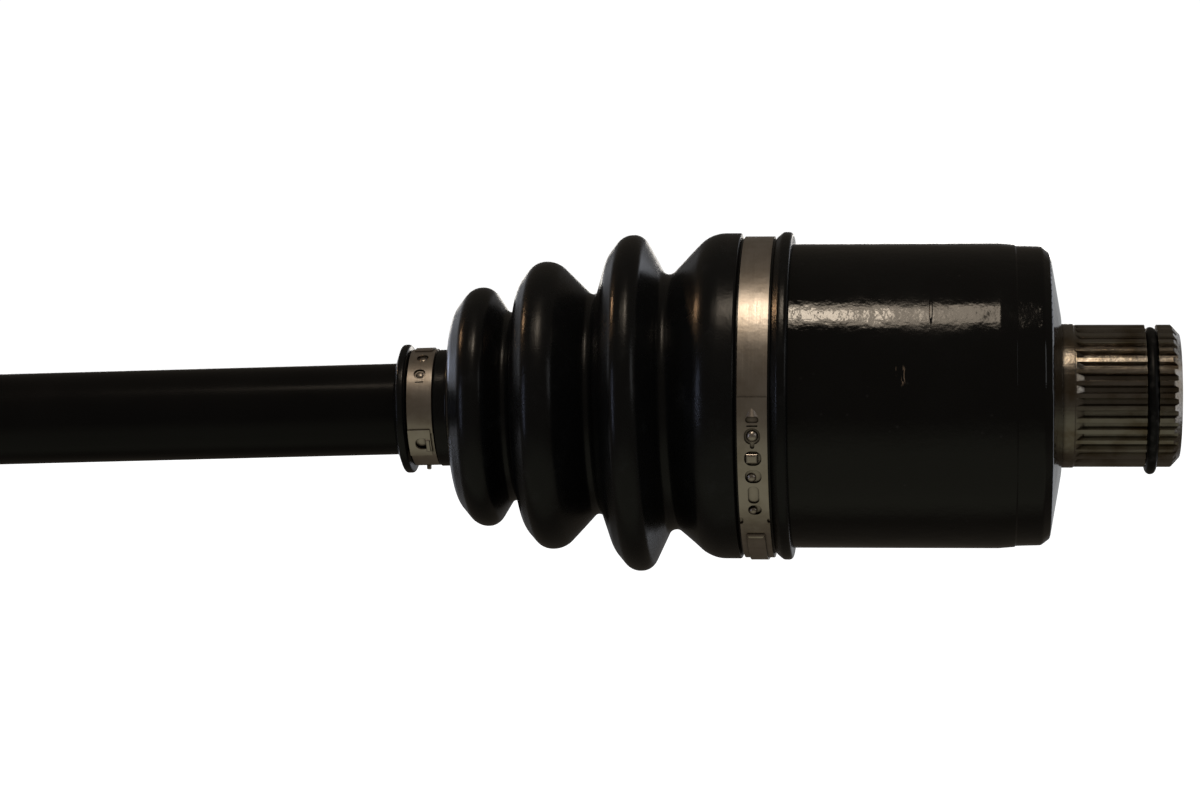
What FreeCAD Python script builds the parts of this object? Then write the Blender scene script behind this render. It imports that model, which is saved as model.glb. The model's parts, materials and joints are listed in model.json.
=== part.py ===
import FreeCAD, Part
import math
import os

os.makedirs("parts", exist_ok=True)

V = FreeCAD.Vector
ORIGIN = V(0, 0, 0)
X_AXIS = V(1, 0, 0)
Y_AXIS = V(0, 1, 0)

# A complete half shaft. +X runs out of the inboard stub, +Z is up, and the origin is on the
# stub's axis in the plane of its shoulder. All sizes are in millimetres and degrees.

# Where the two joints are
INBOARD_CENTRE = V(-44, 0, 0)
JOINT_SPAN = 390            # along the shaft, from joint centre to joint centre
SHAFT_DROOP = -1.5          # turn of the shaft about +Y; half of it is taken by each cage
CAGE_DROOP = SHAFT_DROOP / 2
OUTBOARD_CENTRE = INBOARD_CENTRE + V(
    -JOINT_SPAN * math.cos(math.radians(SHAFT_DROOP)),
    0,
    JOINT_SPAN * math.sin(math.radians(SHAFT_DROOP)),
)

# Balls, cages and inner races, the same in both joints
BALL_R = 15.875 / 2
BALL_CIRCLE_R = 28
BALL_COUNT = 6
FIRST_BALL = 30             # degrees from +Y towards +Z
CAGE_OUTER_R = 32.6
CAGE_INNER_R = 25.0
CAGE_HALF_WIDTH = 12.5
WINDOW_SIDE_GAP = 0.3       # between a ball and the window's two flat sides
WINDOW_END_GAP = 1.5        # between a ball and the window's ends
RACE_R = 24.6
RACE_HALF_WIDTH = 11.0
STRAIGHT_RACE_GAP = 1.0     # room round a ball in the inboard race's tracks
STRAIGHT_CUP_GAP = 0.65     # room round a ball in the inboard housing's tracks
CURVED_GAP = 1.45           # room round a ball in both curved tracks of the outboard joint

# Housings
CUP_R = 42.1
LAND_R = 33.0               # bore or inner sphere that the cage runs in
CUP_MOUTH = -92             # row X of the inboard housing's open end
CUP_FLOOR = -12.5           # row X of the bottom of its bore
MOUTH_RING_AT = -81.5       # row X of the ring that keeps the cage in
MOUTH_RING_WIRE_R = 1.0
MOUTH_GROOVE = (-82.7, -80.3)
BELL_MOUTH = 14.5           # from the outboard joint's centre, towards the shaft
SEAT_GROOVE_R = 41.2        # shallow groove under each boot's large clamp

# Inboard stub: 36 teeth at 24 per inch of pitch diameter
STUB_TIP = 32.5
STUB_TEETH = 36
STUB_R = 19.6
STUB_ROOT_R = 18.34
STUB_NECK = 3.3
RUN_OUT = 2.6               # over which the tooth valleys rise to the neck
JOURNAL_R = 19.85           # over the neck, just clear of the teeth, for an oil seal
GROOVE_FROM, GROOVE_TO, GROOVE_ROOT_R = 22.9, 26.2, 15.95
SNAP_WIRE_R = 1.5
SNAP_RING_R = 18.8
SNAP_DROOP = 1.32           # the loose ring hangs on the top of its groove

# Outboard stub: 27 teeth at the same pitch, then an M20 thread
SHOULDER = -36              # from the outboard joint's centre
BEARING_R, BEARING_LENGTH = 15.0, 12
HUB_TEETH = 27
HUB_SPLINE_R = 14.8
HUB_ROOT_R = 13.55
HUB_SPLINE_LENGTH = 34
THREAD_R = 10.0
THREAD_RELIEF = 3
THREAD_LENGTH = 26
COTTER_HOLE_R = 2.0

# Shaft
SHAFT_R = 12.7
NECK_IN_R, NECK_OUT_R = 11.5, 10.5
END_TEETH = 26
END_SPLINE_R, END_ROOT_R = 13.4, 12.3
END_LENGTH = 14.5           # past a joint's centre
CIRCLIP_WIDTH = 1.2
CIRCLIP_ROOT_R, CIRCLIP_OUTER_R = 11.6, 14.9

# Boots: measured from the edge of the large lip, along the boot
BOOT_LIP = -73.4            # row X of the inboard boot's lip
BELL_LIP = -4.0             # the outboard boot's lip, from the outboard joint's centre
BOOT_WALL = 2.2
BOOT_GRIP_GAP = 0.06        # between a boot's small end and the bar
LIP_R = 45.4
SEAT_R = 43.5               # under the large clamp
SLEEVE_R = 45.1
SLEEVE_INNER_R = 38.9       # inside the sleeve, past the housing's mouth
SLEEVE_TO = 24.6            # end wall of the sleeve
HOUSING_STOP = 18.8         # step inside the sleeve, against the housing's mouth
MOUTH_R = 43.4              # of the folds, inside the sleeve's end wall
COLLAR_R = 16.2             # before the small clamp's seat
SMALL_SEAT_R = 15.2
SMALL_LIP_R = 17.9
BOOT_LENGTH = 109.9
FOLDS_FROM = 22.0           # the folds start inside the sleeve's end wall
CLAMP_SEAT = (4.7, 13.9)
SMALL_SEAT = (99.0, 105.9)
LARGE_BAND_R = 43.6
SMALL_BAND_R = 15.3
BAND_THICKNESS = 0.6


def outline(corners):
    """A closed wire in the XZ plane. Each corner is (x, z), or (x, z, rounding radius)."""
    points = [V(c[0], 0, c[1]) for c in corners]
    radii = [c[2] if len(c) > 2 else 0 for c in corners]
    arrive, leave, edges = [], [], []
    for i, here in enumerate(points):
        first, last = here, here
        if radii[i]:
            back = (points[i - 1] - here).normalize()
            ahead = (points[(i + 1) % len(points)] - here).normalize()
            half = back.getAngle(ahead) / 2
            first = here + back * (radii[i] / math.tan(half))
            last = here + ahead * (radii[i] / math.tan(half))
            centre = here + (back + ahead).normalize() * (radii[i] / math.sin(half))
            middle = centre + (here - centre).normalize() * radii[i]
            edges.append(Part.Arc(first, middle, last).toShape())
        arrive.append(first)
        leave.append(last)
    for i, start in enumerate(leave):
        end = arrive[(i + 1) % len(points)]
        if start.distanceToPoint(end) > 1e-4:
            edges.append(Part.makeLine(start, end))
    return Part.Wire(Part.__sortEdges__(edges))


def turned(corners):
    """A solid of revolution about X."""
    return Part.Face(outline(corners)).revolve(ORIGIN, X_AXIS, 360)


def bar(radius, x_from, x_to):
    return Part.makeCylinder(radius, x_to - x_from, V(x_from, 0, 0), X_AXIS)


def block(x_from, x_to, y_from, y_to, z_from, z_to):
    return Part.makeBox(x_to - x_from, y_to - y_from, z_to - z_from, V(x_from, y_from, z_from))


def about_x(shape, angle):
    """A copy turned about the X axis."""
    copy = shape.copy()
    copy.rotate(ORIGIN, X_AXIS, angle)
    return copy


def placed(shape, tilt, centre):
    """A copy turned about Y and then moved to a joint's centre."""
    copy = shape.copy()
    copy.rotate(ORIGIN, Y_AXIS, tilt)
    copy.translate(centre)
    return copy


def mirrored(shape):
    """A copy with X reversed, for a piece that faces the other way."""
    return shape.mirror(ORIGIN, X_AXIS)


def ball_angles():
    return [FIRST_BALL + 360 / BALL_COUNT * k for k in range(BALL_COUNT)]


def toothed(teeth, tip_r, root_r, x_from, x_to, gap=0.0):
    """A splined bar with straight-sided teeth. A gap makes it that much larger all round."""
    pitch = 2 * math.pi / teeth
    points = []
    for k in range(teeth):
        for radius, share in ((root_r, -0.32), (tip_r, -0.17), (tip_r, 0.17), (root_r, 0.32)):
            side = gap / radius * (1 if share > 0 else -1)
            angle = pitch * (k + share) + side
            points.append(V(x_from, (radius + gap) * math.cos(angle), (radius + gap) * math.sin(angle)))
    face = Part.Face(Part.makePolygon(points + points[:1]))
    return face.extrude(V(x_to - x_from, 0, 0))


def split_ring(inner_r, outer_r, x_from, x_to, gap):
    """A flat retaining ring, open over a gap of so many degrees at +Z."""
    ring = bar(outer_r, x_from, x_to).cut(bar(inner_r, x_from - 1, x_to + 1))
    half = math.tan(math.radians(gap / 2)) * outer_r
    return ring.cut(block(x_from - 1, x_to + 1, -half, half, 0, outer_r + 1))


def wire_ring(ring_r, wire_r, gap):
    """A ring of round wire about X, open over a gap of so many degrees on its +Y side."""
    section = Part.Face(Part.Wire(Part.makeCircle(wire_r, V(0, ring_r, 0), V(0, 0, 1))))
    section = about_x(section, gap / 2)
    return section.revolve(ORIGIN, X_AXIS, 360 - gap)


# ---- Inboard housing and what is fixed to it ----


def stub():
    envelope = turned([
        (0, 0),
        (0, JOURNAL_R),
        (STUB_NECK, JOURNAL_R),
        (STUB_NECK + 0.3, STUB_R),
        (GROOVE_FROM, STUB_R),
        (GROOVE_FROM, GROOVE_ROOT_R, 0.8),
        (GROOVE_TO, GROOVE_ROOT_R, 0.8),
        (GROOVE_TO, STUB_R),
        (STUB_TIP - 2.4, STUB_R, 0.6),
        (STUB_TIP, STUB_R - 2.6, 0.4),
        (STUB_TIP, 0),
    ])
    teeth = toothed(STUB_TEETH, STUB_R + 0.02, STUB_ROOT_R, STUB_NECK, STUB_TIP + 1)
    run_out = turned([
        (-1, 0),
        (-1, JOURNAL_R + 0.02),
        (STUB_NECK, JOURNAL_R + 0.02),
        (STUB_NECK + RUN_OUT, STUB_ROOT_R),
        (STUB_NECK + RUN_OUT, 0),
    ])
    centre_drill = turned([(STUB_TIP - 4, 0), (STUB_TIP + 1, 4.4), (STUB_TIP + 1, 0)])
    return teeth.fuse(run_out).common(envelope).cut(centre_drill)


def cup():
    body = turned([
        (0, 0),
        (0, 22.5, 4),
        (-3.0, 39.4, 1.2),
        (-5.4, 41.25, 1.5),
        (-12.3, 41.45),
        (-12.7, 41.75, 0.2),
        (-17, CUP_R, 8),
        (-79.5, CUP_R),
        (-80.5, SEAT_GROOVE_R),
        (-85.5, SEAT_GROOVE_R),
        (-86.5, CUP_R),
        (CUP_MOUTH + 1, CUP_R),
        (CUP_MOUTH, CUP_R - 1),
        (CUP_MOUTH, 38),
        (CUP_MOUTH + 8, LAND_R),
        (CUP_FLOOR - 2.5, LAND_R, 2),
        (CUP_FLOOR, 18, 6),
        (CUP_FLOOR, 0),
    ])
    track = bar(BALL_R + STRAIGHT_CUP_GAP, CUP_MOUTH - 2, CUP_FLOOR - 5.5)
    track.translate(V(0, BALL_CIRCLE_R, 0))
    for angle in ball_angles():
        body = body.cut(about_x(track, angle))
    wire_groove = turned([
        (MOUTH_GROOVE[0], LAND_R - 2),
        (MOUTH_GROOVE[1], LAND_R - 2),
        (MOUTH_GROOVE[1], LAND_R + 1.1),
        (MOUTH_GROOVE[0], LAND_R + 1.1),
    ])
    return body.cut(wire_groove)


def inboard_housing():
    return cup().fuse(stub()).removeSplitter()


def stub_snap_ring():
    ring = wire_ring(SNAP_RING_R, SNAP_WIRE_R, 16)
    ring.translate(V((GROOVE_FROM + GROOVE_TO) / 2, 0, -SNAP_DROOP))
    return ring


def inboard_mouth_ring():
    ring = wire_ring(LAND_R, MOUTH_RING_WIRE_R, 20)
    ring.translate(V(MOUTH_RING_AT, 0, 0))
    return ring


# ---- Balls, cages and races, each about its own joint's centre ----


def ball(angle):
    radians = math.radians(angle)
    centre = V(0, BALL_CIRCLE_R * math.cos(radians), BALL_CIRCLE_R * math.sin(radians))
    return Part.makeSphere(BALL_R, centre)


def cage():
    body = Part.makeSphere(CAGE_OUTER_R).cut(Part.makeSphere(CAGE_INNER_R))
    side = 2 * CAGE_OUTER_R
    body = body.common(block(-CAGE_HALF_WIDTH, CAGE_HALF_WIDTH, -side, side, -side, side))
    half_x = BALL_R + WINDOW_SIDE_GAP
    half_z = BALL_R + WINDOW_END_GAP
    window = block(-half_x, half_x, CAGE_INNER_R / 2, side, -half_z, half_z)
    corners = [e for e in window.Edges if abs(e.tangentAt(e.FirstParameter).y) > 0.99]
    window = window.makeFillet(3.0, corners)
    for angle in ball_angles():
        body = body.cut(about_x(window, angle))
    return body


def curved_track(radius, back, front):
    """A ball's groove swept about the joint, between two angles from the YZ plane."""
    circle = Part.makeCircle(radius, V(0, BALL_CIRCLE_R, 0), X_AXIS)
    sweep = Part.Face(Part.Wire(circle)).revolve(ORIGIN, V(0, 0, -1), front - back)
    end = Part.makeSphere(radius, V(0, BALL_CIRCLE_R, 0))
    sweep = sweep.fuse(end)
    sweep.rotate(ORIGIN, V(0, 0, -1), back)
    return sweep


def race(tracks):
    body = Part.makeSphere(RACE_R)
    body = body.common(bar(RACE_R, -RACE_HALF_WIDTH, RACE_HALF_WIDTH))
    for angle in ball_angles():
        body = body.cut(about_x(tracks, angle))
    bore = toothed(END_TEETH, END_SPLINE_R, END_ROOT_R, -RACE_R, RACE_R, 0.04)
    return body.cut(bore)


def inboard_race():
    track = bar(BALL_R + STRAIGHT_RACE_GAP, -RACE_R, RACE_R)
    track.translate(V(0, BALL_CIRCLE_R, 0))
    return race(track)


def outboard_race():
    return race(curved_track(BALL_R + CURVED_GAP, -70, 70))


def race_circlips():
    """The two rings that hold one race on its spline."""
    outer_face = split_ring(
        CIRCLIP_ROOT_R + 0.05, CIRCLIP_OUTER_R,
        RACE_HALF_WIDTH + 0.05, RACE_HALF_WIDTH + 0.05 + CIRCLIP_WIDTH, 24,
    )
    return Part.makeCompound([outer_face, mirrored(outer_face)])


# ---- Shaft ----


def shaft_end():
    """The splined end about a joint's centre, on its +X side the tip, on its -X side the bar."""
    groove = (RACE_HALF_WIDTH, RACE_HALF_WIDTH + CIRCLIP_WIDTH + 0.1)
    teeth_from = -groove[1] - 3.8
    envelope = turned([
        (END_LENGTH, 0),
        (END_LENGTH, END_SPLINE_R - 1.2),
        (END_LENGTH - 1.2, END_SPLINE_R),
        (groove[1], END_SPLINE_R),
        (groove[1], CIRCLIP_ROOT_R),
        (groove[0], CIRCLIP_ROOT_R),
        (groove[0], END_SPLINE_R),
        (-groove[0], END_SPLINE_R),
        (-groove[0], CIRCLIP_ROOT_R),
        (-groove[1], CIRCLIP_ROOT_R),
        (-groove[1], END_SPLINE_R),
        (-groove[1] - 1.2, END_SPLINE_R),
        (-groove[1] - 3.2, NECK_OUT_R),
        (-groove[1] - 3.2, 0),
    ])
    teeth = toothed(END_TEETH, END_SPLINE_R + 0.02, END_ROOT_R, teeth_from, END_LENGTH + 1)
    return teeth.common(envelope)


def boot_collar_grooves(at):
    """Two shallow grooves in the bar under a boot's small end."""
    width, root_r, clear_r = 1.2, SHAFT_R - 0.5, SHAFT_R + 1.3
    grooves = []
    for start in (at - 2 * width, at + width):
        end = start + width
        grooves.append(turned([(start, root_r), (end, root_r), (end, clear_r), (start, clear_r)]))
    return grooves


def axle_shaft():
    """The bar between the joints, about the inboard joint's centre and running towards -X."""
    far = -JOINT_SPAN
    bar_body = turned([
        (-13, 0),
        (-13, NECK_IN_R),
        (-56, NECK_IN_R, 6),
        (-60, SHAFT_R, 6),
        (far + 49, SHAFT_R, 8),
        (far + 42, NECK_OUT_R, 8),
        (far + 13, NECK_OUT_R),
        (far + 13, 0),
    ])
    near_end = shaft_end()
    far_end = mirrored(shaft_end())
    far_end.translate(V(far, 0, 0))
    body = bar_body.fuse([near_end, far_end])
    small_seat = (SMALL_SEAT[0] + SMALL_SEAT[1]) / 2
    inboard_seat = BOOT_LIP - small_seat - INBOARD_CENTRE.x
    outboard_seat = far + BELL_LIP + small_seat
    for at in (inboard_seat, outboard_seat):
        for groove in boot_collar_grooves(at):
            body = body.cut(groove)
    return body


# ---- Outboard housing, about its joint's centre, stub towards -X ----


def bell():
    body = turned([
        (BELL_MOUTH, 34.6),
        (BELL_MOUTH, CUP_R - 1),
        (BELL_MOUTH - 1, CUP_R),
        (8.0, CUP_R),
        (7.0, SEAT_GROOVE_R),
        (2.0, SEAT_GROOVE_R),
        (1.0, CUP_R),
        (-6, CUP_R, 10),
        (-24, 36.5, 12),
        (SHOULDER + 4, 25.5, 5),
        (SHOULDER + 2.5, 22, 2),
        (SHOULDER, 21, 0.6),
        (SHOULDER, 0),
        (11, 0),
        (11, 31.1),
    ])
    hollow = Part.makeSphere(LAND_R).common(bar(LAND_R + 1, -24, 20))
    body = body.cut(hollow)
    track = curved_track(BALL_R + CURVED_GAP, -26, 45)
    for angle in ball_angles():
        body = body.cut(about_x(track, angle))
    return body


def hub_stub():
    spline_from = SHOULDER - BEARING_LENGTH
    spline_to = spline_from - HUB_SPLINE_LENGTH
    thread_from = spline_to - THREAD_RELIEF
    tip = thread_from - THREAD_LENGTH
    core = turned([
        (SHOULDER + 1, 0),
        (SHOULDER + 1, BEARING_R),
        (spline_from, BEARING_R),
        (spline_from - 2, HUB_ROOT_R),
        (spline_to, HUB_ROOT_R, 1),
        (spline_to - 0.5, THREAD_R - 1.3, 0.4),
        (thread_from, THREAD_R - 1.3),
        (thread_from - 1.3, THREAD_R),
        (tip + 1.5, THREAD_R),
        (tip, THREAD_R - 1.5),
        (tip, 0),
    ])
    spline_shape = turned([
        (spline_from, 0),
        (spline_from, HUB_SPLINE_R),
        (spline_to + 1.3, HUB_SPLINE_R),
        (spline_to, HUB_SPLINE_R - 1.3),
        (spline_to, 0),
    ])
    teeth = toothed(HUB_TEETH, HUB_SPLINE_R + 0.02, HUB_ROOT_R, spline_to - 1, spline_from + 1)
    cotter = Part.makeCylinder(COTTER_HOLE_R, 4 * THREAD_R, V(tip + 6, 0, -2 * THREAD_R))
    centre_drill = turned([(tip + 4, 0), (tip - 1, 4.4), (tip - 1, 0)])
    return core.fuse(teeth.common(spline_shape)).cut(cotter).cut(centre_drill)


def outboard_housing():
    return bell().fuse(hub_stub()).removeSplitter()


# ---- Boots and clamps, along +X from the large lip and about that joint's axes ----


def sleeve_corners():
    """The outside of a boot's large end, as far as the folds."""
    return [
        (0, CUP_R + 0.05),
        (0.2, LIP_R, 1.2),
        (2.7, LIP_R, 1.2),
        (4.4, SEAT_R + 0.5, 0.4),
        (CLAMP_SEAT[0], SEAT_R, 0.2),
        (CLAMP_SEAT[1], SEAT_R, 0.2),
        (CLAMP_SEAT[1] + 0.6, SLEEVE_R, 0.5),
        (SLEEVE_TO, SLEEVE_R, 5),
    ]


def fold_corners():
    """The outside of the folds and the small end. Each fold has a valley and three crest corners."""
    return [
        (FOLDS_FROM, MOUTH_R),
        (24.2, MOUTH_R),
        (34.3, 33.8, 2.4),
        (40.8, 46.7, 4.0),
        (46.0, 46.7, 5.0),
        (50.3, 41.3, 9.0),
        (54.3, 29.9, 0.8),
        (65.0, 40.0, 7.0),
        (70.6, 40.0, 5.2),
        (75.2, 34.4, 9.0),
        (77.1, 24.0, 0.8),
        (83.6, 33.3, 4.2),
        (88.6, 33.3, 5.2),
        (93.4, 27.2, 8.0),
        (95.0, COLLAR_R, 0.8),
        (98.7, COLLAR_R, 0.3),
        (SMALL_SEAT[0], SMALL_SEAT_R, 0.2),
        (SMALL_SEAT[1], SMALL_SEAT_R, 0.2),
        (106.7, SMALL_LIP_R, 0.7),
        (108.6, SMALL_LIP_R, 0.8),
        (BOOT_LENGTH, 14.2, 0.5),
        (BOOT_LENGTH, SHAFT_R + BOOT_GRIP_GAP),
    ]


def boot_hollow():
    """The room inside the folds: their outline, one wall thickness in."""
    first, last = 1, 15         # the fold corners that lie over the hollow
    corners = [(20.0, 4), (20.0, MOUTH_R)] + fold_corners()[first:last] + [(98.0, 4)]
    section = Part.Face(outline(corners))
    return Part.Face(section.OuterWire.makeOffset2D(-BOOT_WALL)).revolve(ORIGIN, X_AXIS, 360)


def boot(centre_from_lip, droop):
    """A boot with its large end square to the joint and its folds along the drooping shaft."""
    sleeve = turned(sleeve_corners() + [
        (SLEEVE_TO, CUP_R - 8),
        (HOUSING_STOP, CUP_R - 8),
        (HOUSING_STOP, CUP_R + 0.05),
    ])
    outside = turned(fold_corners() + [(FOLDS_FROM, SHAFT_R + BOOT_GRIP_GAP)])
    inside = boot_hollow()
    bore = bar(SHAFT_R + BOOT_GRIP_GAP, 10, BOOT_LENGTH + 1)
    middle = V(centre_from_lip, 0, 0)
    for piece in (outside, inside, bore):
        piece.rotate(middle, Y_AXIS, droop)
    mouth = bar(SLEEVE_INNER_R, 15, 24.0)
    return sleeve.fuse(outside).cut(inside.fuse([bore, mouth]))


def backed(raised, radius):
    """The part of a raised feature that stands on a band's inner layer."""
    reach, sunk = 6, 0.4
    return raised.common(block(-reach, reach, -radius - reach, -radius + sunk, -reach, reach))


def tongue(radius, x_middle, x_half, z_half, height, angle):
    """A raised lug on a band, with a rounded top."""
    lug = block(x_middle - x_half, x_middle + x_half, -radius - height, -radius + 0.4, -z_half, z_half)
    top = [e for e in lug.Edges if abs(e.CenterOfMass.y + radius + height) < 0.01]
    lug = lug.makeFillet(min(height, x_half, z_half) * 0.7, top)
    return about_x(lug, angle)


def dome(radius, x_middle, spread, height, angle):
    """A round raised button on a band."""
    ball_r = (spread ** 2 + height ** 2) / (2 * height)
    cap = Part.makeSphere(ball_r, V(x_middle, -radius - height + ball_r, 0))
    return about_x(backed(cap, radius), angle)


def scoop(radius, half_width, length, height, angle):
    """A raised scoop that widens from a point to a rounded, open mouth."""
    tip = V(0, -radius - height + half_width, length / 2)
    cone = Part.makeCone(0.15, half_width, length, tip, V(0, 0, -1))
    return about_x(backed(cone, radius), angle)


def window(radius, x_middle, x_half, z_half, angle):
    """A cutter for a window through a band's outer layers, with rounded corners."""
    cutter = block(x_middle - x_half, x_middle + x_half, -radius - 3, -radius, -z_half, z_half)
    along = [e for e in cutter.Edges if abs(e.tangentAt(e.FirstParameter).y) > 0.99]
    cutter = cutter.makeFillet(min(x_half, z_half) * 0.9, along)
    return about_x(cutter, angle)


def arc_band(inner_r, outer_r, x_from, x_to, angle_from, angle_to):
    """Part of a ring, between two angles from -Y towards -Z."""
    section = Part.makePolygon([
        V(x_from, -inner_r, 0),
        V(x_to, -inner_r, 0),
        V(x_to, -outer_r, 0),
        V(x_from, -outer_r, 0),
        V(x_from, -inner_r, 0),
    ])
    face = about_x(Part.Face(section), angle_from)
    return face.revolve(ORIGIN, X_AXIS, angle_to - angle_from)


def clamp(inner_r, half_width, overlap, plates, windows, lugs):
    """A stepless band: a full turn under an overlapping end with plates, windows and lugs."""
    middle_r = inner_r + BAND_THICKNESS
    outer_r = middle_r + BAND_THICKNESS
    band = bar(middle_r, -half_width, half_width).cut(bar(inner_r, -half_width - 1, half_width + 1))
    end = arc_band(middle_r - 0.1, outer_r, -half_width, half_width, *overlap)
    for x_from, x_to, height, angle_from, angle_to in plates:
        end = end.fuse(arc_band(outer_r - 0.1, outer_r + height, x_from, x_to, angle_from, angle_to))
    for place in windows:
        end = end.cut(window(middle_r, *place))
    band = band.fuse(end)
    for raised, *place in lugs:
        band = band.fuse(raised(middle_r, *place))
    return band


def large_clamp():
    """The band round the boot's large end; its closing ear is at the bottom."""
    ear_half_width = 2.4
    edge = 4.0
    plates = ((-ear_half_width, ear_half_width, 0.6, 57, 98),)
    windows = (
        (0, 1.75, 0.8, 8.2),
        (0, 1.5, 0.2, 10.3),
        (0, 2.15, 2.2, 13.9),
        (0, 0.6, 0.9, 17.1),
        (0.1, 2.3, 2.1, 21.8),
        (0.1, 2.2, 2.0, 28.7),
        (0, 1.5, 2.9, 36.3),
        (0.2, 1.8, 1.8, 43.0),
        (-edge, 0.9, 1.4, 48.5),
        (edge, 0.7, 1.0, 48.5),
    )
    lugs = (
        (scoop, 1.75, 3.7, 1.5, 4.6),
        (dome, 0, 1.6, 1.3, 13.9),
        (tongue, -0.2, 1.6, 1.4, 1.1, 21.8),
        (dome, -0.4, 1.3, 1.1, 29.3),
        (dome, -0.3, 1.1, 1.3, 43.4),
        (tongue, 0, ear_half_width, 1.1, 1.6, 57.5),
    )
    return clamp(LARGE_BAND_R, edge, (0.5, 104), plates, windows, lugs)


def small_clamp():
    """The band round the boot's small end; its ear is at the top and its hook in front."""
    edge = 3.4
    plates = ((-2.4, 2.4, 0.4, -100, -72), (-edge, 2.7, 0.5, 20.8, 50))
    windows = ((0.3, 1.6, 1.6, -57.5), (0, 1.6, 1.6, -35.0), (0.3, 1.9, 1.9, 35.3))
    lugs = (
        (dome, 0.3, 1.1, 0.35, -57.5),
        (dome, 0, 1.1, 0.35, -35.0),
        (tongue, 0, 1.1, 0.2, 0.85, -26.5),
        (tongue, 1.9, 0.7, 2.1, 1.3, 37.5),
        (tongue, 0, 0.55, 0.7, 1.2, 88),
    )
    return clamp(SMALL_BAND_R, edge, (-105, 24.9), plates, windows, lugs)


# ---- Everything in its place ----


def add_inboard_joint(nodes):
    nodes["inboard_housing"] = inboard_housing()
    nodes["stub_snap_ring"] = stub_snap_ring()
    nodes["inboard_mouth_ring"] = inboard_mouth_ring()
    nodes["inboard_cage"] = placed(cage(), CAGE_DROOP, INBOARD_CENTRE)
    for number, angle in enumerate(ball_angles(), 1):
        nodes[f"inboard_ball_{number}"] = placed(ball(angle), CAGE_DROOP, INBOARD_CENTRE)
    nodes["inboard_inner_race"] = placed(inboard_race(), SHAFT_DROOP, INBOARD_CENTRE)
    nodes["inboard_race_circlips"] = placed(race_circlips(), SHAFT_DROOP, INBOARD_CENTRE)
    lip = V(BOOT_LIP, 0, 0)
    reach = BOOT_LIP - INBOARD_CENTRE.x
    shell = mirrored(boot(reach, -SHAFT_DROOP))
    shell.translate(lip)
    nodes["inboard_boot"] = shell
    band = large_clamp()
    band.translate(V(BOOT_LIP - sum(CLAMP_SEAT) / 2, 0, 0))
    nodes["inboard_large_clamp"] = band
    band = small_clamp()
    band.translate(V(reach - sum(SMALL_SEAT) / 2, 0, 0))
    nodes["inboard_small_clamp"] = placed(band, SHAFT_DROOP, INBOARD_CENTRE)


def add_outboard_joint(nodes):
    nodes["outboard_housing"] = placed(outboard_housing(), 0, OUTBOARD_CENTRE)
    nodes["outboard_cage"] = placed(cage(), CAGE_DROOP, OUTBOARD_CENTRE)
    for number, angle in enumerate(ball_angles(), 1):
        nodes[f"outboard_ball_{number}"] = placed(ball(angle), CAGE_DROOP, OUTBOARD_CENTRE)
    nodes["outboard_inner_race"] = placed(outboard_race(), SHAFT_DROOP, OUTBOARD_CENTRE)
    nodes["outboard_race_circlips"] = placed(race_circlips(), SHAFT_DROOP, OUTBOARD_CENTRE)
    shell = boot(-BELL_LIP, SHAFT_DROOP)
    shell.translate(V(BELL_LIP, 0, 0))
    nodes["outboard_boot"] = placed(shell, 0, OUTBOARD_CENTRE)
    band = about_x(large_clamp(), 150)
    band.translate(V(BELL_LIP + sum(CLAMP_SEAT) / 2, 0, 0))
    nodes["outboard_large_clamp"] = placed(band, 0, OUTBOARD_CENTRE)
    band = about_x(small_clamp(), 150)
    band.translate(V(BELL_LIP + sum(SMALL_SEAT) / 2, 0, 0))
    nodes["outboard_small_clamp"] = placed(band, SHAFT_DROOP, OUTBOARD_CENTRE)


def main():
    nodes = {}
    add_inboard_joint(nodes)
    nodes["axle_shaft"] = placed(axle_shaft(), SHAFT_DROOP, INBOARD_CENTRE)
    add_outboard_joint(nodes)
    for name, shape in nodes.items():
        shape.exportStep(f"parts/{name}.step")
        print(name, len(shape.Solids), "solids", round(shape.Volume), "mm3", shape.isValid())


main()
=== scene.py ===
import bpy
import json
import math
from mathutils import Matrix, Vector, noise

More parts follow.
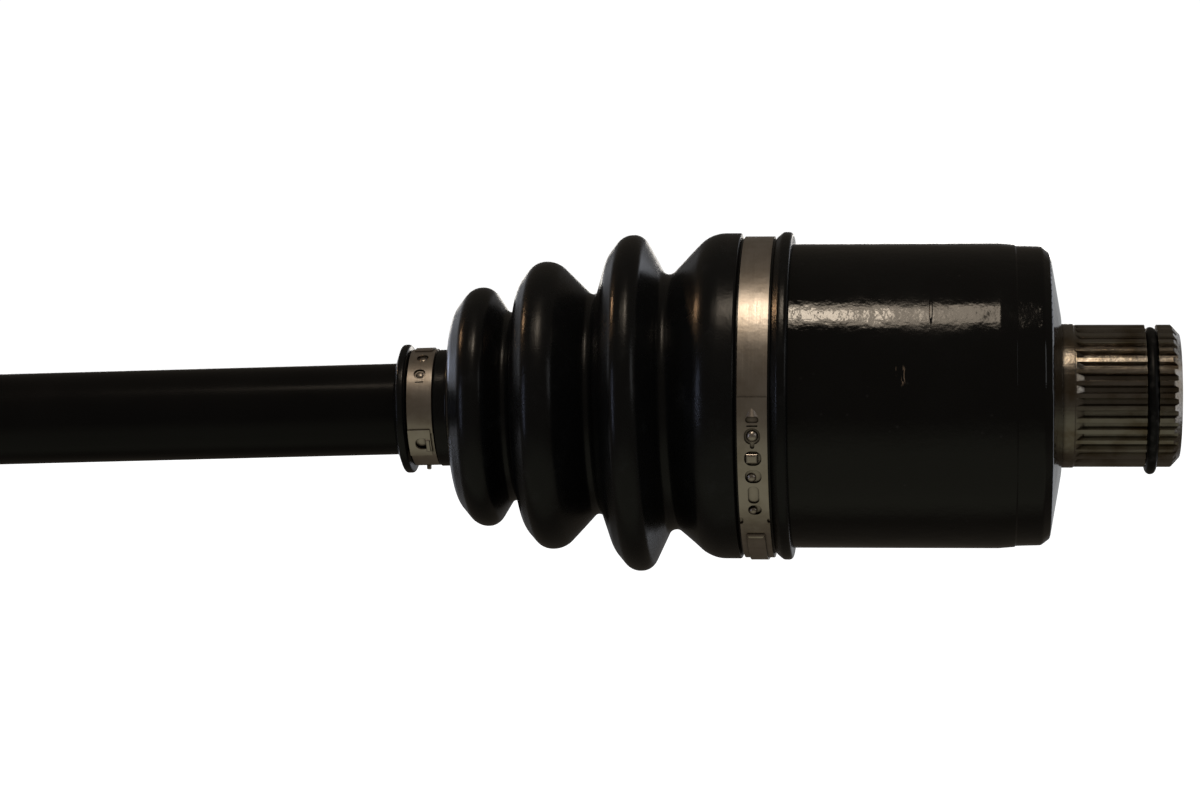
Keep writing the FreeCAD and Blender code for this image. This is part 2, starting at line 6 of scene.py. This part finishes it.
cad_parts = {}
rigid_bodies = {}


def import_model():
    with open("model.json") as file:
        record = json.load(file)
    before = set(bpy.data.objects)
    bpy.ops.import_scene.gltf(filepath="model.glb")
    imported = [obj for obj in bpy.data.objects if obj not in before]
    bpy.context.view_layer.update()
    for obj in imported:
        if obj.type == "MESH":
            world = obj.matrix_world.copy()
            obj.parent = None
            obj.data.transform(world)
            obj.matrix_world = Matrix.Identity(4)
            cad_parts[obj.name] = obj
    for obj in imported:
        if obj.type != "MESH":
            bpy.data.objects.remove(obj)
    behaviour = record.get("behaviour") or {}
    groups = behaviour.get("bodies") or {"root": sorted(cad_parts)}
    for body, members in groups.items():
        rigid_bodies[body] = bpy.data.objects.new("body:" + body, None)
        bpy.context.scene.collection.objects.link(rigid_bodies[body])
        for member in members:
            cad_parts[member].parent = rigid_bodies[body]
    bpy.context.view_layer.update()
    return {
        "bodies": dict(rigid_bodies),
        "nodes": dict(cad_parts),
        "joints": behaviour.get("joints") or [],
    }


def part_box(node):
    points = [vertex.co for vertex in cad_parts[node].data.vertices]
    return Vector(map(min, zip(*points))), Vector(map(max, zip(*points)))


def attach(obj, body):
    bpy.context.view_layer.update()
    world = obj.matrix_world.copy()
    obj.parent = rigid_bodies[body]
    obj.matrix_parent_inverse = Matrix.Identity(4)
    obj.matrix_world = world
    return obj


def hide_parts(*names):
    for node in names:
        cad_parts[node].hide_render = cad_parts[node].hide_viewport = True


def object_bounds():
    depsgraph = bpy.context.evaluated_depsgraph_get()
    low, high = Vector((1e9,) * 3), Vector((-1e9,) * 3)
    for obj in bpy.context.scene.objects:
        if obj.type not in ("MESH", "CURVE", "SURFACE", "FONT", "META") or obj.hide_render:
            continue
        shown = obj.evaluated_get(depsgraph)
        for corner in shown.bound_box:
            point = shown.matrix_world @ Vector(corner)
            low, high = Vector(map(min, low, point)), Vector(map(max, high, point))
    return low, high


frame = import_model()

# A half shaft with a constant-velocity joint at each end. Everything is in metres, in the
# frame of the CAD model: +X out of the inboard stub, +Z up.

MM = 0.001


# ---- Where things are, from the CAD frame ----

def joint_centre(name):
    return Vector(next(j for j in frame["joints"] if j["name"] == name)["pos_m"])


INBOARD = joint_centre("inboard_pitch")
OUTBOARD = joint_centre("outboard_pitch")
SHAFT_LINE = (INBOARD - OUTBOARD).normalized()
DROOP = math.atan2(SHAFT_LINE.z, SHAFT_LINE.x)      # the shaft's slope, up towards the stub


# ---- Nodes ----

def connect(tree, socket, value):
    """Feeds a socket from another node, or sets its value."""
    if isinstance(value, bpy.types.NodeSocket):
        tree.links.new(value, socket)
    else:
        socket.default_value = value


def add_node(tree, kind, inputs=(), **settings):
    made = tree.nodes.new("ShaderNode" + kind)
    for key, value in settings.items():
        setattr(made, key, value)
    for key, value in dict(inputs).items():
        connect(tree, made.inputs[key], value)
    return made


def mixed(tree, share, a, b):
    """Colours: a where share is 0, b where it is 1."""
    made = tree.nodes.new("ShaderNodeMix")
    made.data_type = "RGBA"
    for index, value in ((0, share), (6, a), (7, b)):
        connect(tree, made.inputs[index], value)
    return made.outputs[2]


def between(tree, value, low, high, to_low=0.0, to_high=1.0):
    """A smooth step from one number to another as the value goes from low to high."""
    inputs = {"Value": value, "From Min": low, "From Max": high}
    inputs |= {"To Min": to_low, "To Max": to_high}
    return add_node(tree, "MapRange", inputs, interpolation_type="SMOOTHSTEP").outputs[0]


# ---- Materials ----

class Look:
    """One material: a Principled shader, and short calls for the nodes that drive it."""

    def __init__(self, name, **plain):
        self.material = bpy.data.materials.new(name)
        self.material.use_nodes = True
        self.tree = self.material.node_tree
        self.tree.nodes.clear()
        output = self.tree.nodes.new("ShaderNodeOutputMaterial")
        self.shader = self.tree.nodes.new("ShaderNodeBsdfPrincipled")
        self.tree.links.new(self.shader.outputs[0], output.inputs[0])
        self.place = self.tree.nodes.new("ShaderNodeTexCoord").outputs["Object"]
        self.bump_chain = None
        for socket, value in plain.items():
            self.shader.inputs[socket.replace("_", " ")].default_value = value

    def node(self, kind, inputs=(), **settings):
        return add_node(self.tree, kind, inputs, **settings)

    def stretched(self, scale, turn=(0, 0, 0)):
        """The place on the object, scaled along each axis: repeats per metre."""
        inputs = {"Vector": self.place, "Scale": scale, "Rotation": turn}
        return self.node("Mapping", inputs).outputs[0]

    def noise(self, scale, detail=3.0, rough=0.55, vector=None):
        inputs = {"Vector": vector or self.place, "Scale": scale, "Detail": detail, "Roughness": rough}
        return self.node("TexNoise", inputs).outputs["Fac"]

    def cells(self, scale):
        return self.node("TexVoronoi", {"Vector": self.place, "Scale": scale}).outputs["Distance"]

    def ramp(self, value, low, high, to_low=0.0, to_high=1.0):
        return between(self.tree, value, low, high, to_low, to_high)

    def math(self, operation, a, b=0.0):
        return self.node("Math", {0: a, 1: b}, operation=operation).outputs[0]

    def mix(self, share, a, b):
        return mixed(self.tree, share, a, b)

    def blend(self, share, a, b):
        """Numbers: a where share is 0, b where it is 1."""
        return self.node("Mix", {0: share, 2: a, 3: b}, data_type="FLOAT").outputs[0]

    def crevice_shade(self, reach):
        """1 in corners and gaps narrower than the reach, 0 in the open: the mask for painted shade."""
        made = self.node("AmbientOcclusion", {"Distance": reach}, samples=8, only_local=True)
        return self.ramp(made.outputs["AO"], 0.35, 0.95, 1.0, 0.0)

    def axis(self, letter):
        return self.node("SeparateXYZ", {0: self.place}).outputs[letter]

    def bump(self, height, distance):
        """Adds a layer of relief, so many metres deep."""
        inputs = {"Height": height, "Distance": distance, "Strength": 1.0}
        if self.bump_chain is not None:
            inputs["Normal"] = self.bump_chain
        self.bump_chain = self.node("Bump", inputs).outputs[0]

    def drive(self, socket, value):
        self.tree.links.new(value, self.shader.inputs[socket])

    def done(self):
        if self.bump_chain is not None:
            self.drive("Normal", self.bump_chain)
        return self.material


def grey(level, warmth=0.0):
    return (level * (1 + warmth), level, level * (1 - warmth), 1)


def wear_spot(look, centre, reach):
    """1 at a place on the object, falling to 0 over a reach along each axis."""
    per_metre = tuple(1 / r for r in reach)
    offset = look.node("VectorMath", {0: look.place, 1: centre}, operation="SUBTRACT").outputs[0]
    scaled = look.node("VectorMath", {0: offset, 1: per_metre}, operation="MULTIPLY")
    far = look.node("VectorMath", {0: scaled.outputs[0]}, operation="LENGTH").outputs["Value"]
    return look.ramp(far, 0.55, 1.0, 1.0, 0.0)


DENT = Vector((-35.5, -35.2, 23.0)) * MM        # on the inboard cup, towards the top
DENT_REACH = (0.5 * MM, 5 * MM, 5 * MM)
SCUFFS = Vector((-43.6, -41.7, 5.4)) * MM
SCUFFS_REACH = (2.2 * MM, 4 * MM, 3.2 * MM)
HUB_SHOULDER = 36 * MM                          # from the outboard joint to its bare stub
# painted shade and oil: the dark brown that fills the valleys of the bare steel
VALLEY_SHADE_AND_OIL = (0.035, 0.026, 0.018, 1)


def painted_housing(name, steel_from, towards):
    """Gloss black paint over turned steel; beyond a plane the stub is bare steel."""
    look = Look(name)
    x = look.axis("X")
    wander = look.ramp(look.noise(420, 2.0), 0.3, 0.7, -0.25 * MM, 0.25 * MM)
    past = look.math("SUBTRACT", look.math("ADD", x, wander), steel_from)
    past = look.math("MULTIPLY", past, towards)
    steel = look.ramp(past, -0.2 * MM, 0.2 * MM)

    # Paint: nearly black, with orange peel, patches that are less glossy, and a few light scuffs
    patches = look.noise(38, 4.0, 0.62)
    speck = look.ramp(look.cells(260), 0.0, 0.16, 1.0, 0.0)
    sparse = look.ramp(look.noise(60, 1.0), 0.56, 0.66)
    specks = look.math("MULTIPLY", speck, sparse)
    fine_lines = look.noise(1.0, 2.0, 0.5, look.stretched((900, 18, 18)))
    lines = look.ramp(fine_lines, 0.70, 0.78)
    paint_colour = look.mix(patches, grey(0.0025), grey(0.005, 0.03))
    paint_colour = look.mix(look.math("MULTIPLY", specks, 0.15), paint_colour, grey(0.06, 0.1))
    paint_rough = look.blend(look.ramp(patches, 0.35, 0.72), 0.05, 0.15)
    paint_rough = look.math("ADD", paint_rough, look.math("MULTIPLY", lines, 0.10))

    # One dent across the cup and one patch of scuffs, where it was knocked in handling
    dent = wear_spot(look, DENT, DENT_REACH)
    scuffed = wear_spot(look, SCUFFS, SCUFFS_REACH)
    across = look.stretched((1500, 60, 260), (0, 0.12, 0))
    strokes = look.ramp(look.noise(1.0, 2.0, 0.5, across), 0.56, 0.64)
    rubbed = look.math("MULTIPLY", scuffed, strokes)
    paint_colour = look.mix(rubbed, paint_colour, (0.16, 0.11, 0.07, 1))
    paint_rough = look.math("ADD", paint_rough, look.math("MULTIPLY", rubbed, 0.25))

    # Bare steel: cut and handled, with patches of brown oil, and the valleys darkened in colour by
    # painted shade and oil, so the tooth tips stand bright
    cut = look.noise(1.0, 3.0, 0.6, look.stretched((55, 1500, 1500)))
    stain = look.noise(95, 4.0, 0.6)
    oil = look.ramp(stain, 0.40, 0.70)
    steel_colour = look.mix(oil, (0.42, 0.39, 0.35, 1), (0.24, 0.19, 0.13, 1))
    steel_rough = look.blend(cut, 0.10, 0.30)

    # painted shade: where the steel is hemmed in, as between spline teeth, its colour goes dark brown,
    # standing in for shadow as well as oil
    steel_colour = look.mix(look.crevice_shade(1.6 * MM), steel_colour, VALLEY_SHADE_AND_OIL)
    look.drive("Base Color", look.mix(steel, paint_colour, steel_colour))
    look.drive("Metallic", steel)
    look.drive("Roughness", look.blend(steel, paint_rough, steel_rough))
    look.bump(look.noise(1.0, 3.0, 0.6, look.stretched((110, 420, 420))), 0.034 * MM)
    look.bump(look.noise(95, 4.0, 0.6), 0.20 * MM)
    look.bump(look.math("MULTIPLY", cut, steel), 0.05 * MM)
    look.bump(dent, 0.25 * MM)
    return look.done()


def shaft_paint():
    """Satin black paint on a drawn bar."""
    look = Look("satin_black_bar", Specular_IOR_Level=0.25)
    patches = look.noise(26, 4.0, 0.6)
    drawn = look.noise(1.0, 3.0, 0.6, look.stretched((9, 420, 420)))
    look.drive("Base Color", look.mix(patches, grey(0.0025, 0.04), grey(0.005, 0.12)))
    look.drive("Roughness", look.blend(look.ramp(patches, 0.3, 0.75), 0.20, 0.30))
    look.bump(drawn, 0.03 * MM)
    look.bump(look.noise(700, 2.0), 0.02 * MM)
    return look.done()


def boot_rubber():
    """Moulded black rubber: satin, with patches a little duller, and a dusty bloom."""
    look = Look("boot_rubber", Specular_IOR_Level=0.40)
    bloom = look.noise(45, 5.0, 0.65)
    grain = look.noise(1500, 3.0, 0.6)
    dust = look.ramp(look.noise(140, 4.0, 0.7), 0.52, 0.80)
    dusty = look.math("MULTIPLY", dust, 0.5)
    look.drive("Base Color", look.mix(dusty, grey(0.0042, -0.02), grey(0.014, -0.03)))
    look.drive("Roughness", look.blend(look.ramp(bloom, 0.30, 0.75), 0.20, 0.34))
    look.bump(grain, 0.030 * MM)
    look.bump(look.noise(230, 3.0), 0.05 * MM)
    return look.done()


def band_steel():
    """Stainless strip, brushed along its length, with handling marks, and painted shade in its gaps
    and windows.
    """
    look = Look("brushed_stainless_band", Metallic=1.0)
    brushed = look.noise(1.0, 4.0, 0.65, look.stretched((2600, 34, 34)))
    smudge = look.noise(120, 4.0, 0.6)
    handled = look.ramp(smudge, 0.35, 0.75)
    clean = look.mix(handled, (0.76, 0.69, 0.62, 1), (0.58, 0.51, 0.43, 1))
    # painted shade: in the gaps and windows of the band the colour goes nearly black, standing in for
    # shadow as well as grease
    look.drive("Base Color", look.mix(look.crevice_shade(1.3 * MM), clean, (0.05, 0.038, 0.028, 1)))
    look.drive("Roughness", look.blend(brushed, 0.22, 0.44))
    look.bump(brushed, 0.012 * MM)
    look.bump(look.noise(330, 2.0), 0.07 * MM)
    return look.done()


def spring_wire():
    """Oil-blackened spring steel."""
    look = Look("blackened_spring_wire", Metallic=0.7)
    rub = look.noise(260, 4.0, 0.6)
    look.drive("Base Color", look.mix(look.ramp(rub, 0.5, 0.8), grey(0.012), grey(0.07, 0.06)))
    look.drive("Roughness", look.blend(rub, 0.25, 0.5))
    look.bump(look.noise(1400, 2.0), 0.015 * MM)
    return look.done()


def ground_steel(name, tint):
    """Hardened and ground, with a film of grease."""
    look = Look(name, Metallic=1.0)
    film = look.noise(150, 4.0, 0.6)
    look.drive("Base Color", look.mix(film, grey(tint, 0.01), grey(tint * 0.72, 0.07)))
    look.drive("Roughness", look.blend(film, 0.08, 0.30))
    look.bump(look.noise(900, 2.0), 0.01 * MM)
    return look.done()


def paint_node(node, material):
    for slot in frame["nodes"][node].material_slots:
        slot.material = material


def paint_cad_nodes():
    paint_node("inboard_housing", painted_housing("housing_inboard", 0.0, 1.0))
    bare_from = OUTBOARD.x - HUB_SHOULDER
    paint_node("outboard_housing", painted_housing("housing_outboard", bare_from, -1.0))
    paint_node("axle_shaft", shaft_paint())
    band, wire = band_steel(), spring_wire()
    for side in ("inboard", "outboard"):
        paint_node(f"{side}_large_clamp", band)
        paint_node(f"{side}_small_clamp", band)
        paint_node(f"{side}_race_circlips", wire)
    paint_node("stub_snap_ring", wire)
    paint_node("inboard_mouth_ring", wire)
    race = ground_steel("ground_steel_races", 0.50)
    bright = ground_steel("polished_steel_balls", 0.62)
    for node in frame["nodes"]:
        if "_ball_" in node:
            paint_node(node, bright)
        elif node.endswith("_cage") or node.endswith("_inner_race"):
            paint_node(node, race)


# ---- Boots ----

# All sizes of a boot are in millimetres, and distances along it start at the edge of its large lip
LIP_BORE_R = 42.15              # over the housing
BORE_R = 12.76                  # over the bar

# The outside: (distance along it, radius, rounding)
BOOT_OUTLINE = (
    (0.0, LIP_BORE_R, 0),
    (0.2, 45.4, 1.2),
    (2.7, 45.4, 1.2),
    (4.4, 44.0, 0.4),
    (4.7, 43.5, 0.2),
    (13.9, 43.5, 0.2),
    (14.5, 45.1, 0.5),
    (22.7, 45.1, 10.0),
    (34.3, 33.8, 2.4),
    (40.8, 46.7, 4.0),
    (46.0, 46.7, 5.0),
    (50.3, 41.3, 9.0),
    (54.3, 29.1, 1.8),
    (65.0, 40.0, 7.0),
    (70.6, 40.0, 5.2),
    (75.2, 34.4, 9.0),
    (77.1, 23.2, 1.8),
    (83.6, 33.3, 4.2),
    (88.6, 33.3, 5.2),
    (93.4, 27.2, 8.0),
    (95.0, 16.2, 0.8),
    (98.7, 16.2, 0.3),
    (99.0, 15.2, 0.2),
    (105.9, 15.2, 0.2),
    (106.7, 17.9, 0.7),
    (108.6, 17.9, 0.8),
    (109.9, 14.2, 0.5),
    (109.9, BORE_R, 0),
)
FOLDS = (22.7, 34.4)            # the tilt of the folds comes in between these
WALL = 2.2
HOLLOW = (26.5, 95.6)           # the stretch of the outline that has the folds' inside under it
HOLLOW_MIN_R = 13.4
COLLAR_FROM = 98.2              # from here to the end the bore grips the bar
MOUTH_R, MOUTH_FROM, MOUTH_TO = 38.9, 18.8, 24.2
STEP = 0.35                     # between rows of the mesh along the outline
ARC_STEP = 0.3                  # between points round a rounded corner
BORE_STEP, MOUTH_STEP = 1.0, 1.2
SEGMENTS = 192
SHARP_EDGE = math.radians(50)
SOFT_FROM, SOFT_TO = 23.0, 97.0     # the stretch that bends; past it the boot follows the shaft
BEND_POWER = 1.7                    # above 1, the folds near the housing bend most


def rounded(outline):
    """Points along an outline with its corners rounded."""
    points = []
    corners = [Vector((s, r)) for s, r, _ in outline]
    for i, (s, r, radius) in enumerate(outline):
        here = corners[i]
        if not radius or i in (0, len(outline) - 1):
            points.append(here)
            continue
        back, ahead = (corners[i - 1] - here).normalized(), (corners[i + 1] - here).normalized()
        half = back.angle(ahead) / 2
        reach = radius / math.tan(half)
        centre = here + (back + ahead).normalized() * (radius / math.sin(half))
        start, end = here + back * reach - centre, here + ahead * reach - centre
        turn = start.angle_signed(end)
        count = max(3, math.ceil(abs(turn) * radius / ARC_STEP))
        for k in range(count + 1):
            angle = -turn * k / count
            points.append(centre + Matrix.Rotation(angle, 2) @ start)
    return points


def evened(points, step):
    """The same line with extra points on its long runs."""
    line = [points[0]]
    for point in points[1:]:
        length = (point - line[-1]).length
        if length < 1e-6:
            continue
        count = max(1, math.ceil(length / step))
        first = line[-1]
        line += [first.lerp(point, k / count) for k in range(1, count + 1)]
    return line


def inner_line(outside):
    """The inside of the folds: the outside moved in by the wall."""
    line = []
    for before, here, after in zip(outside, outside[1:], outside[2:]):
        along = (after - before).normalized()
        inward = Vector((along.y, -along.x))
        point = here + inward * WALL
        if HOLLOW[0] < here.x < HOLLOW[1] and point.y > HOLLOW_MIN_R:
            line.append(point)
    return line


def boot_section():
    """The closed section of a boot, outside first; and how many of its points are outside."""
    outside = evened(rounded(BOOT_OUTLINE), STEP)
    inside = inner_line(outside)
    bore = [outside[-1], Vector((COLLAR_FROM, BORE_R)), inside[-1]]
    mouth = [
        inside[0],
        Vector((MOUTH_TO, MOUTH_R)),
        Vector((MOUTH_FROM, MOUTH_R)),
        Vector((MOUTH_FROM, LIP_BORE_R)),
        outside[0],
    ]
    back = evened(bore, BORE_STEP)[1:-1] + inside[::-1] + evened(mouth, MOUTH_STEP)[1:-1]
    return outside + back, len(outside)


def smooth(share):
    share = min(1.0, max(0.0, share))
    return share * share * (3 - 2 * share)


def boot_mesh(name, lip, centre, direction, droop):
    """Rings of points about the joint's axis, which tilts to the shaft's where the folds begin."""
    section, outside = boot_section()
    reach = (lip - centre.x) * direction / MM       # from the joint to the lip, towards the shaft
    points, along = [], []
    for index, (s, r) in enumerate(section):
        share = smooth((s - FOLDS[0]) / (FOLDS[1] - FOLDS[0]))
        tilt = Matrix.Rotation(droop * share, 4, "Y")
        for k in range(SEGMENTS):
            angle = 2 * math.pi * k / SEGMENTS
            radius = r
            if index < outside:
                radius += relief(s, angle, direction)
            y, z = radius * math.cos(angle), radius * math.sin(angle)
            local = Vector((direction * (reach + s), y, z))
            points.append(centre + tilt @ (local * MM))
            along.append(s)
    rows = len(section)
    faces = []
    for i in range(rows):
        a, b = i * SEGMENTS, (i + 1) % rows * SEGMENTS
        for k in range(SEGMENTS):
            n = (k + 1) % SEGMENTS
            quad = (a + k, b + k, b + n, a + n)
            faces.append(quad if direction > 0 else quad[::-1])
    mesh = bpy.data.meshes.new(name)
    mesh.from_pydata(points, [], faces)
    mesh.update()
    mesh.polygons.foreach_set("use_smooth", [True] * len(mesh.polygons))
    mesh.set_sharp_from_angle(angle=SHARP_EDGE)
    return mesh, along


# Unevenness of the moulding: (waves per mm along, start, waves around, height in mm)
WAVES = ((0.035, 5, 1.3, 0.35), (0.11, 9, 3.1, 0.12))


def relief(s, angle, direction):
    """How far the moulded surface stands proud of the outline, in mm."""
    y, z = math.cos(angle), math.sin(angle)
    wave = 0.0
    for along, start, around, height in WAVES:
        place = Vector((s * along + start * direction, y * around, z * around))
        wave += noise.noise(place) * height
    return wave * smooth((s - 26) / 8) * smooth((96 - s) / 4)


def make_boot(side, body, direction, lip, centre, droop):
    mesh, along = boot_mesh(f"{side}_boot_skin", lip, centre, direction, droop)
    boot = bpy.data.objects.new(f"{side}_boot_skin", mesh)
    bpy.context.scene.collection.objects.link(boot)
    mesh.materials.append(RUBBER)
    soften(boot, along, side, body)
    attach(boot, body)
    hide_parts(f"{side}_boot")


def soften(boot, along, side, body):
    """Bends a boot between its housing and the shaft: two bones that follow the two bodies."""
    rig_data = bpy.data.armatures.new(f"{side}_boot_rig")
    rig = bpy.data.objects.new(f"{side}_boot_rig", rig_data)
    bpy.context.scene.collection.objects.link(rig)
    bpy.context.view_layer.objects.active = rig
    bpy.ops.object.mode_set(mode="EDIT")
    for name in ("housing", "shaft"):
        bone = rig_data.edit_bones.new(name)
        bone.head, bone.tail = (0, 0, 0), (0, 0.02, 0)
    bpy.ops.object.mode_set(mode="OBJECT")
    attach(rig, body)
    follow = rig.pose.bones["shaft"].constraints.new("COPY_TRANSFORMS")
    follow.target = frame["bodies"]["axle_shaft_body"]
    groups = {name: boot.vertex_groups.new(name=name) for name in ("housing", "shaft")}
    rows = {}
    for index, s in enumerate(along):
        rows.setdefault(s, []).append(index)
    for s, members in rows.items():
        share = min(1.0, max(0.0, (s - SOFT_FROM) / (SOFT_TO - SOFT_FROM)))
        weight = 1 - (1 - share) ** BEND_POWER
        groups["shaft"].add(members, weight, "REPLACE")
        groups["housing"].add(members, 1 - weight, "REPLACE")
    bend = boot.modifiers.new("bend", "ARMATURE")
    bend.object = rig
    bend.use_deform_preserve_volume = True


# ---- Stage: floor, light and camera ----

FLOOR_DROP = 0.30           # from the lowest point at rest to the floor
FLOOR_HALF = 40.0
WHITE = (1, 1, 1, 1)
DIM_ROOM = (0.056, 0.048, 0.038, 1)
PALE_BELOW = (0.16, 0.155, 0.118, 1)
BACKDROP = (0.78, 0.81, 0.88, 1)
HORIZON = (0.36, 0.365, 0.37, 1)


def make_floor():
    """A large pale floor, far enough below for the shaft and stubs to swing clear of it."""
    half = FLOOR_HALF
    corners = [(-half, -half, 0), (half, -half, 0), (half, half, 0), (-half, half, 0)]
    mesh = bpy.data.meshes.new("floor")
    mesh.from_pydata(corners, [], [(0, 1, 2, 3)])
    floor = bpy.data.objects.new("floor", mesh)
    floor.location.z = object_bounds()[0].z - FLOOR_DROP
    bpy.context.scene.collection.objects.link(floor)
    look = Look(
        "pale_floor",
        Roughness=0.9,
        Base_Color=grey(0.82),
        Emission_Strength=0.85,
        Emission_Color=WHITE,
    )
    mesh.materials.append(look.done())
    floor.visible_glossy = False
    floor.visible_diffuse = False


def area_light(name, place, aim, size, power, colour):
    data = bpy.data.lights.new(name, "AREA")
    data.shape = "RECTANGLE"
    data.size, data.size_y = size
    data.energy = power
    data.color = colour
    light = bpy.data.objects.new(name, data)
    light.location = place
    light.rotation_mode = "QUATERNION"
    light.rotation_quaternion = (Vector(aim) - Vector(place)).to_track_quat("-Z", "Y")
    light.visible_camera = False
    bpy.context.scene.collection.objects.link(light)


def reflected_room(tree):
    """What the part mirrors: a dim warm room, pale below, and a backdrop behind it at its sides."""
    direction = add_node(tree, "TexCoord").outputs["Generated"]
    way = add_node(tree, "SeparateXYZ", {0: direction}).outputs

    def step(value, low, high, to_low=0.0, to_high=1.0):
        return between(tree, value, low, high, to_low, to_high)

    def times(a, b):
        return add_node(tree, "Math", {0: a, 1: b}, operation="MULTIPLY").outputs[0]

    def size_of(value):
        return add_node(tree, "Math", {0: value}, operation="ABSOLUTE").outputs[0]

    sideways = step(size_of(way["X"]), 0.25, 0.60, 0.12, 1.25)
    sideways = times(sideways, step(way["X"], 0.0, 0.6, 0.8, 2.6))
    level = times(step(way["Z"], -0.35, -0.05), step(way["Z"], 0.45, 0.15))
    backdrop = times(times(step(way["Y"], 0.0, 0.35), sideways), level)
    below = times(step(way["Z"], -0.25, -0.75), step(way["Y"], 0.35, -0.10))
    straight_behind = times(step(way["Y"], 0.86, 0.93), step(size_of(way["Z"]), 0.16, 0.06))
    right_of_middle = times(step(way["X"], 0.02, 0.07), step(way["X"], 0.34, 0.22))
    glow = times(straight_behind, right_of_middle)

    room = mixed(tree, below, DIM_ROOM, PALE_BELOW)
    room = mixed(tree, backdrop, room, BACKDROP)
    return mixed(tree, glow, room, HORIZON)


def make_world():
    """White behind everything for the camera, a mild white fill, and the room in reflections."""
    world = bpy.data.worlds.new("studio")
    bpy.context.scene.world = world
    world.use_nodes = True
    tree = world.node_tree
    tree.nodes.clear()

    def background(colour, strength):
        return add_node(tree, "Background", {"Color": colour, "Strength": strength}).outputs[0]

    def choose(share, a, b):
        return add_node(tree, "MixShader", {0: share, 1: a, 2: b}).outputs[0]

    rays = add_node(tree, "LightPath").outputs
    fill = background(WHITE, 0.40)
    light = choose(rays["Is Glossy Ray"], fill, background(reflected_room(tree), 1.0))
    seen = choose(rays["Is Camera Ray"], light, background(WHITE, 1.05))
    output = add_node(tree, "OutputWorld")
    tree.links.new(seen, output.inputs[0])


def make_lights():
    """A warm soft box above the cup, brightest at its left, and small fills all round."""
    middle = Vector((-0.10, 0, 0))
    high = (-0.47, 0.88)
    warm = (1.0, 0.84, 0.66)
    for name, x_from, x_to, depth, radiance in (
        ("key_core", -0.120, -0.080, 0.16, 17.0),
        ("key_middle", -0.130, -0.052, 0.22, 4.6),
        ("key_outer", -0.145, 0.022, 0.28, 4.4),
        ("key_rim", -0.150, 0.036, 0.36, 1.0),
        ("key_gap", -0.33, -0.150, 0.24, 0.22),
        ("key_far", -0.42, -0.33, 0.11, 3.0),
    ):
        width = x_to - x_from
        place = ((x_from + x_to) / 2, *high)
        aim = (place[0], 0, 0)
        area_light(name, place, aim, (width, depth), radiance * math.pi * width * depth, warm)
    area_light("right", (0.95, -0.50, 0.35), middle, (0.3, 0.5), 0.35, (0.95, 0.97, 1.0))
    area_light("left", (-1.35, 0.95, 0.03), middle, (0.34, 0.50), 3.0, (0.66, 0.74, 1.0))
    area_light("low_left", (-1.25, -0.55, 0.02), middle, (0.07, 0.60), 0.55, (0.62, 0.70, 1.0))
    area_light("lamp", (-1.00, 0.16, 0.62), middle, (0.08, 0.10), 0.8, (1.0, 0.60, 0.32))
    area_light("back", (-0.25, 1.15, 0.16), (-0.25, 0, 0), (1.0, 0.07), 0.75, (1.0, 0.95, 0.88))


# The camera: a little right of the object's middle, level, at arm's length
CAMERA_PLACE = Vector((-0.0326, -0.9051, 0.0002))
CAMERA_YAW = -0.0605        # radians to the left of straight on
CAMERA_PITCH = -0.0015
VIEW_ANGLE_WIDTH = 0.3674   # the view's width at a metre
FRAMING_SHIFT = -0.12


def make_camera():
    data = bpy.data.cameras.new("camera")
    camera = bpy.data.objects.new("camera", data)
    camera.location = CAMERA_PLACE
    camera.rotation_euler = (math.pi / 2 + CAMERA_PITCH, 0, -CAMERA_YAW)
    data.sensor_width = 36
    data.lens = data.sensor_width / VIEW_ANGLE_WIDTH
    data.shift_x = FRAMING_SHIFT
    data.clip_start, data.clip_end = 0.05, 100
    bpy.context.scene.collection.objects.link(camera)
    bpy.context.scene.camera = camera


RUBBER = boot_rubber()
paint_cad_nodes()
inboard_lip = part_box("inboard_boot")[1].x
outboard_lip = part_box("outboard_boot")[0].x
make_boot("inboard", "inboard_housing_body", -1, inboard_lip, INBOARD, -DROOP)
make_boot("outboard", "outboard_housing_body", 1, outboard_lip, OUTBOARD, -DROOP)
make_floor()
make_world()
make_lights()
make_camera()
bpy.context.scene.view_settings.view_transform = "Standard"
bpy.context.scene.view_settings.look = "None"
